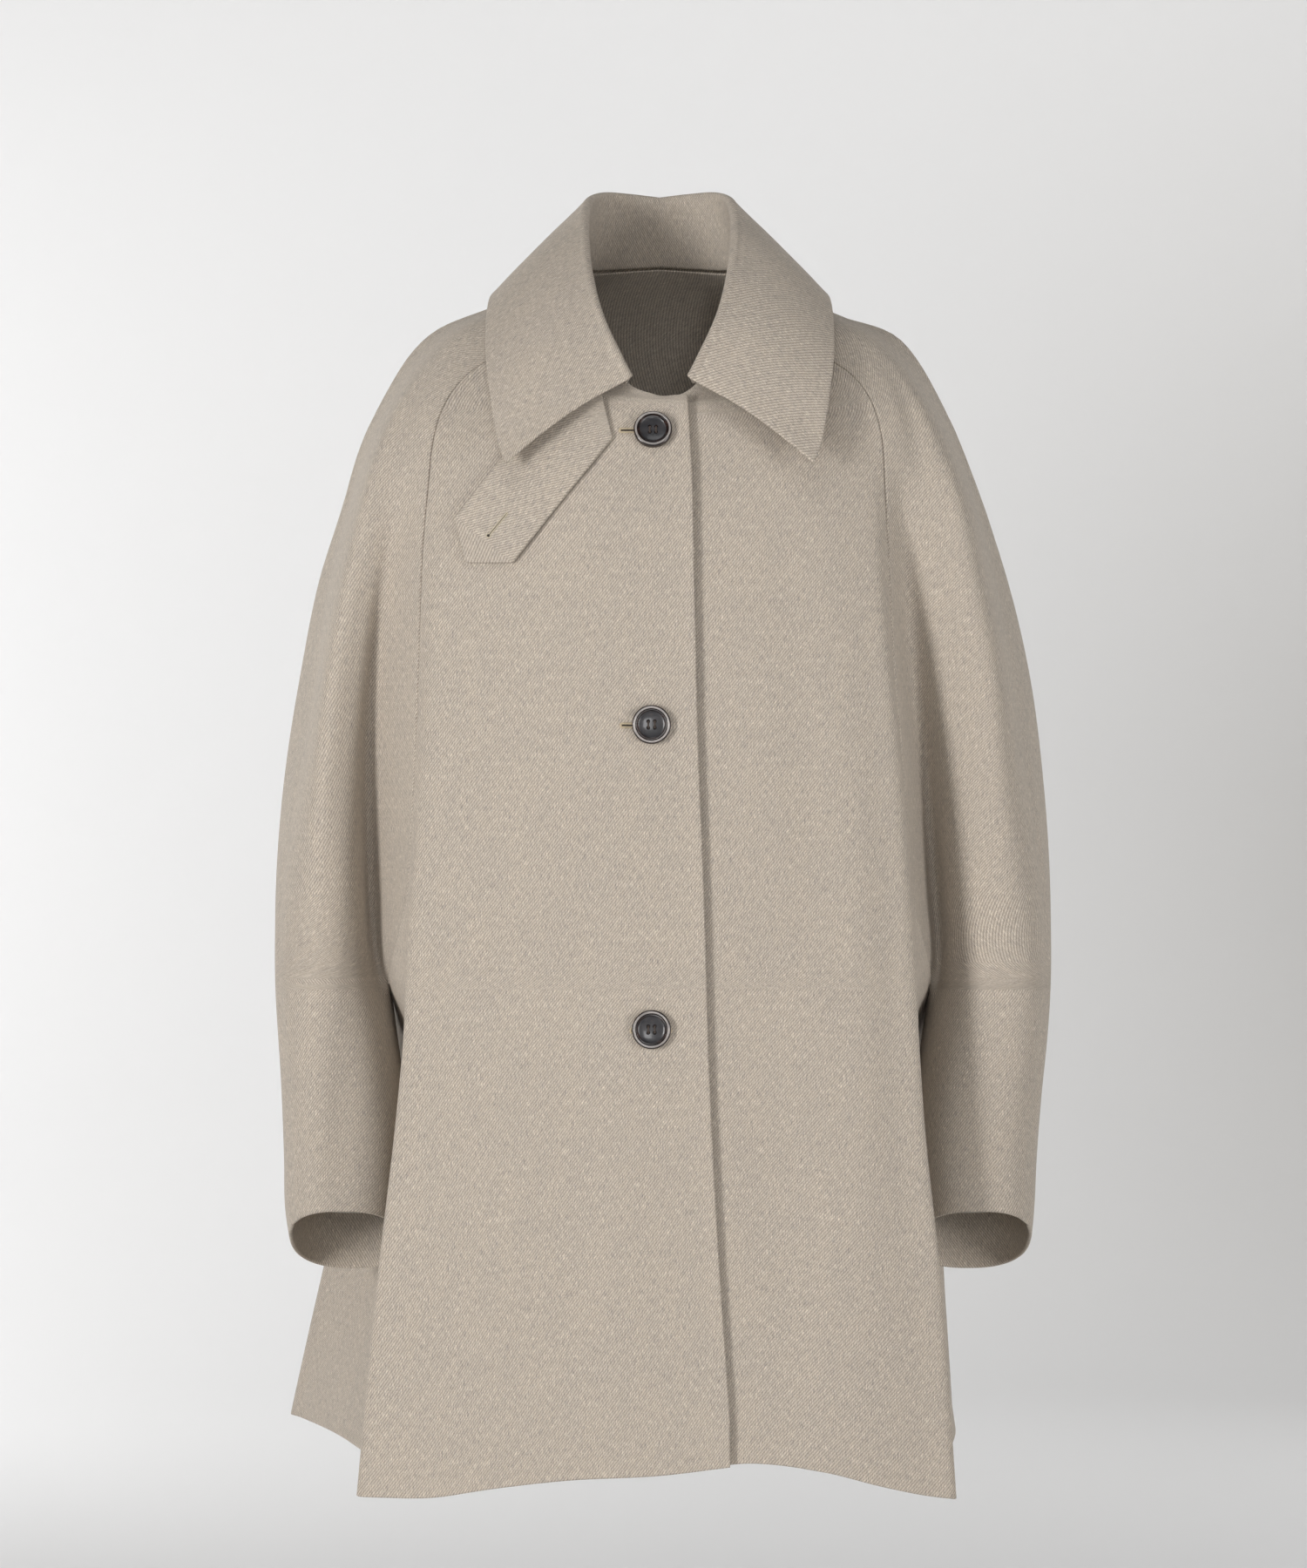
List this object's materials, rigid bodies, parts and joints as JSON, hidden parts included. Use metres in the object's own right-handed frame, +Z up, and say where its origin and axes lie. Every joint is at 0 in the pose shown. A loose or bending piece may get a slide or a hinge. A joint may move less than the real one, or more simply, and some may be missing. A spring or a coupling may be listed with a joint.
{
  "type": "coat",
  "caption": "A-line wool twill coat, worn form, with deep raglan sleeves, a shirt collar, a chin tab and dark round buttons",
  "frame": {"origin": "between the shoulders, at the height where the coat is held", "axes": "+X is towards the wearer's left, +Y towards the wearer's back, +Z up; the front faces -Y"},
  "size_m": [0.5801, 0.3458, 0.9626],
  "materials": {
    "wool_cloth": "matte wool twill, oatmeal melange",
    "horn_button": "polished dark brown horn look",
    "lining_cloth": "smooth pale lining"
  },
  "bodies": {
    "root": {"front_right": "wool_cloth", "front_left": "wool_cloth", "back": "wool_cloth", "sleeve_front_right": "wool_cloth", "sleeve_back_right": "wool_cloth", "sleeve_front_left": "wool_cloth", "sleeve_back_left": "wool_cloth", "collar": "wool_cloth", "chin_tab": "wool_cloth", "sleeve_lining_right": "lining_cloth", "sleeve_lining_left": "lining_cloth", "button_1": "horn_button", "button_2": "horn_button", "button_3": "horn_button"}
  },
  "joints": []
}
